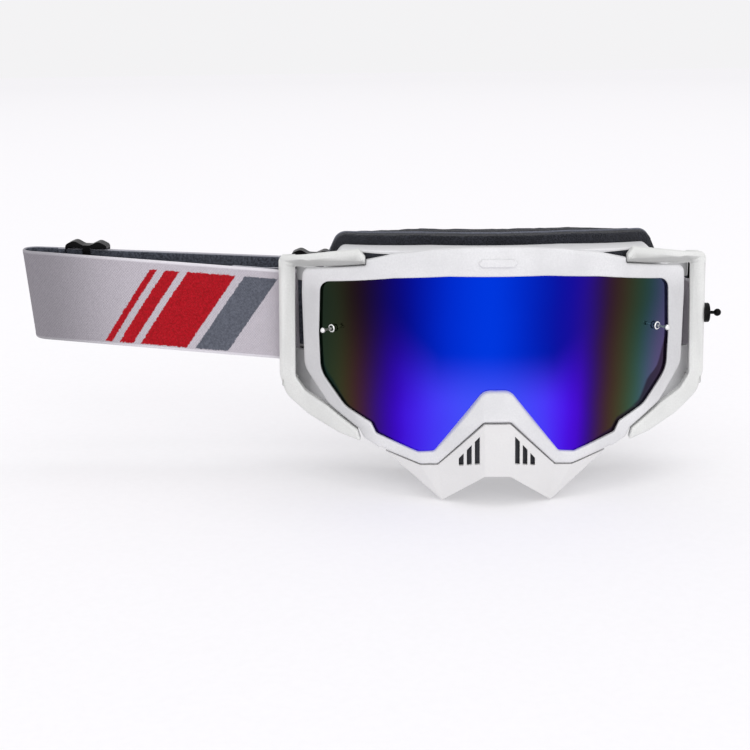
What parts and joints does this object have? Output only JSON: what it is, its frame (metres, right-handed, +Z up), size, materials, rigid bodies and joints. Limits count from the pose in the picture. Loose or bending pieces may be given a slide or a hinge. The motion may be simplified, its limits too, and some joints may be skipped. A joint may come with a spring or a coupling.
{
  "type": "riding goggles",
  "caption": "Off-road riding goggles with a curved mirrored lens, strap outriggers, clip-on nose guard, layered face foam and a folded elastic strap with sliding adjusters.",
  "frame": {"origin": "on the goggles' middle plane at half the height of the lens, 40 mm behind the front of the brow, in the middle of the face seal where a head holds the goggles", "axes": "+Z up as worn, the lens faces -Y and the wearer's face is at +Y, +X to the right as seen from the front; the strap is folded flat towards -X"},
  "size_m": [0.3421, 0.0947, 0.1198],
  "materials": {
    "frame_plastic": "satin warm grey-white moulded plastic",
    "black_plastic": "satin black moulded plastic",
    "mirror_lens": "blue iridescent mirror coat that turns violet, brown and green towards the sides",
    "pin_steel": "bright polished pins and washers",
    "foam": "open-cell charcoal foam",
    "fleece": "brushed charcoal fleece face",
    "webbing": "light grey woven elastic with a dark grey inner side and printed red and grey bars",
    "silicone": "translucent grey silicone beads"
  },
  "bodies": {
    "goggles": {"front_frame": "frame_plastic", "rear_frame": "frame_plastic", "lens": "mirror_lens", "lens_pin_left": "pin_steel", "lens_pin_right": "pin_steel", "pin_washer_left": "pin_steel", "pin_washer_right": "pin_steel", "brow_badge": "frame_plastic", "outrigger_left": "frame_plastic", "outrigger_right": "frame_plastic", "strap_post_left": "black_plastic", "strap_post_right": "black_plastic", "tear_off_post": "black_plastic", "vent_foam_top_left": "foam", "vent_foam_top_right": "foam", "vent_foam_side_left": "foam", "vent_foam_side_right": "foam", "foam_base": "foam", "foam_middle": "foam", "face_fleece": "fleece", "strap_front_band": "webbing", "strap_back_band": "webbing", "grip_bead_upper": "silicone", "grip_bead_lower": "silicone"},
    "nose_guard_body": {"nose_guard": "frame_plastic", "nose_guard_vent_left": "black_plastic", "nose_guard_vent_right": "black_plastic"},
    "left_adjuster": {"strap_adjuster_left": "black_plastic"},
    "right_adjuster": {"strap_adjuster_right": "black_plastic"}
  },
  "joints": [
    {"name": "nose_guard_pull", "type": "slide", "parent": "goggles", "child": "nose_guard_body", "axis": [0, -1, 0], "range_m": [0, 0.02]},
    {"name": "left_adjuster_slide", "type": "slide", "parent": "goggles", "child": "left_adjuster", "axis": [0.9988, -0.0085, -0.0481], "range_m": [-0.003, 0.035]},
    {"name": "right_adjuster_slide", "type": "slide", "parent": "goggles", "child": "right_adjuster", "axis": [0.9988, -0.0085, -0.0481], "range_m": [-0.03, 0.003]}
  ]
}
